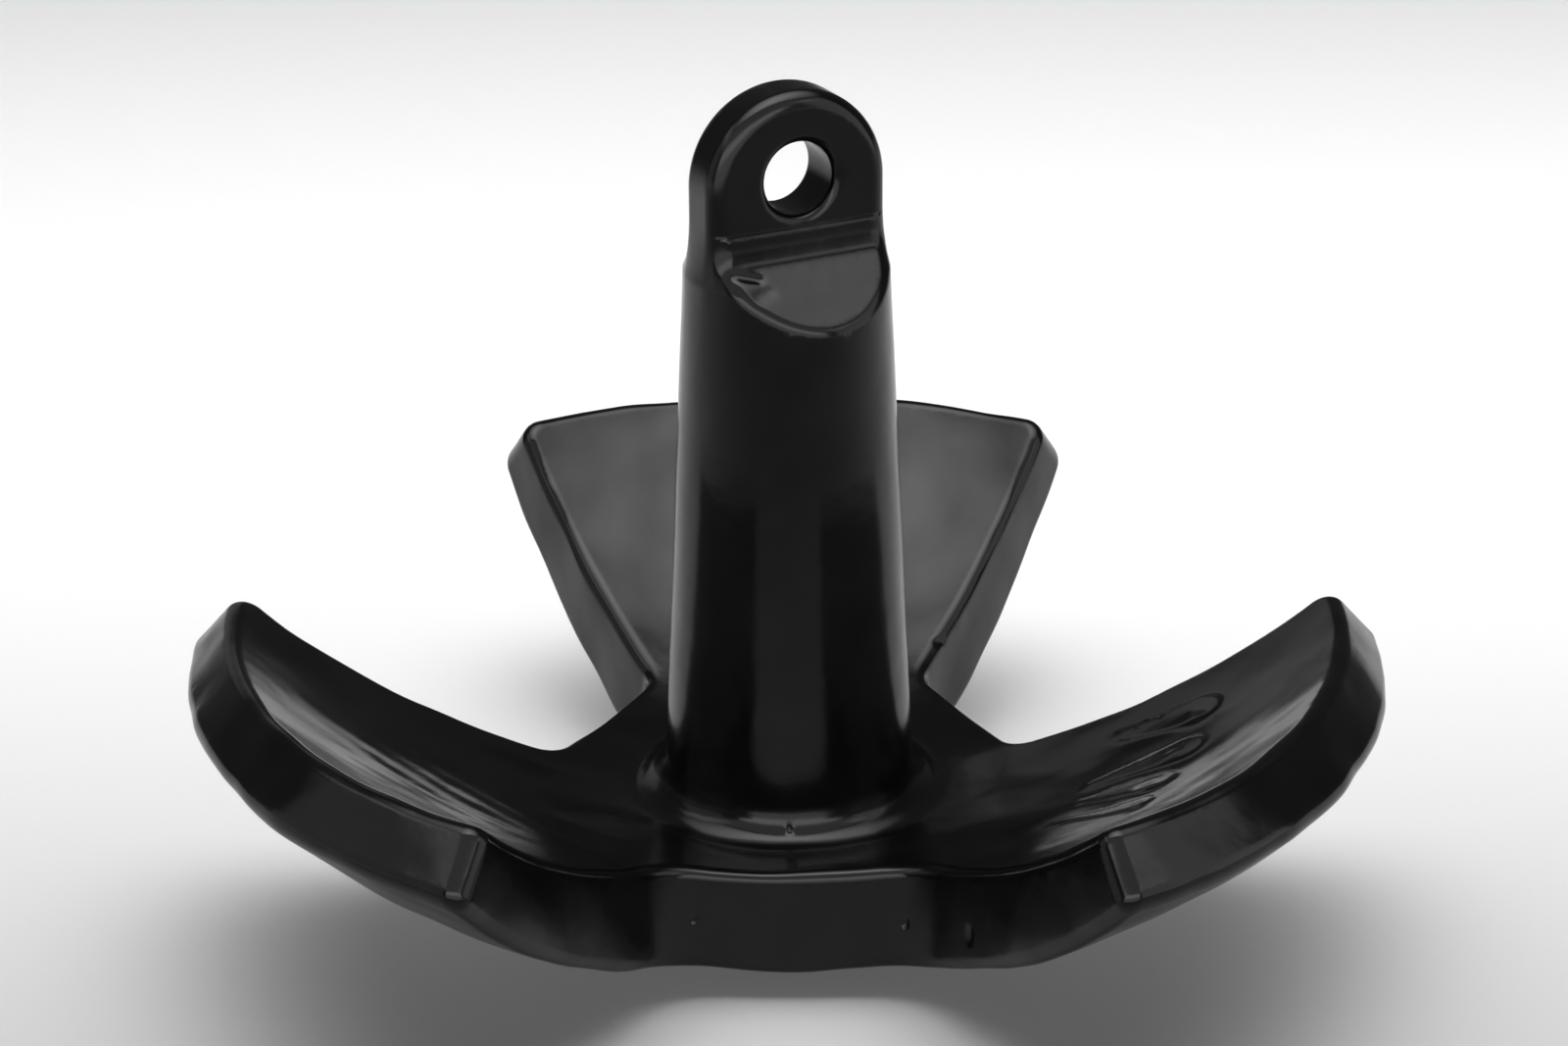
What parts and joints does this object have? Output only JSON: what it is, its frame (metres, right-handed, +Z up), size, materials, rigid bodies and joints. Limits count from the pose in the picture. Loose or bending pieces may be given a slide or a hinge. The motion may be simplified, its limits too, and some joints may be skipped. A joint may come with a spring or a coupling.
{
  "type": "river anchor",
  "caption": "Vinyl-coated cast river anchor: a thick dished bowl cut into three flukes around a tapered shank that ends in a flat eye tab.",
  "frame": {"origin": "middle of the flat spot under the bowl, on the shank's axis", "axes": "+Z up along the shank, +Y along the back fluke, the other two flukes to the front left and front right"},
  "size_m": [0.2496, 0.233, 0.1781],
  "materials": {
    "vinyl_coat": "gloss"
  },
  "bodies": {
    "root": {"river_anchor": "vinyl_coat"}
  },
  "joints": []
}
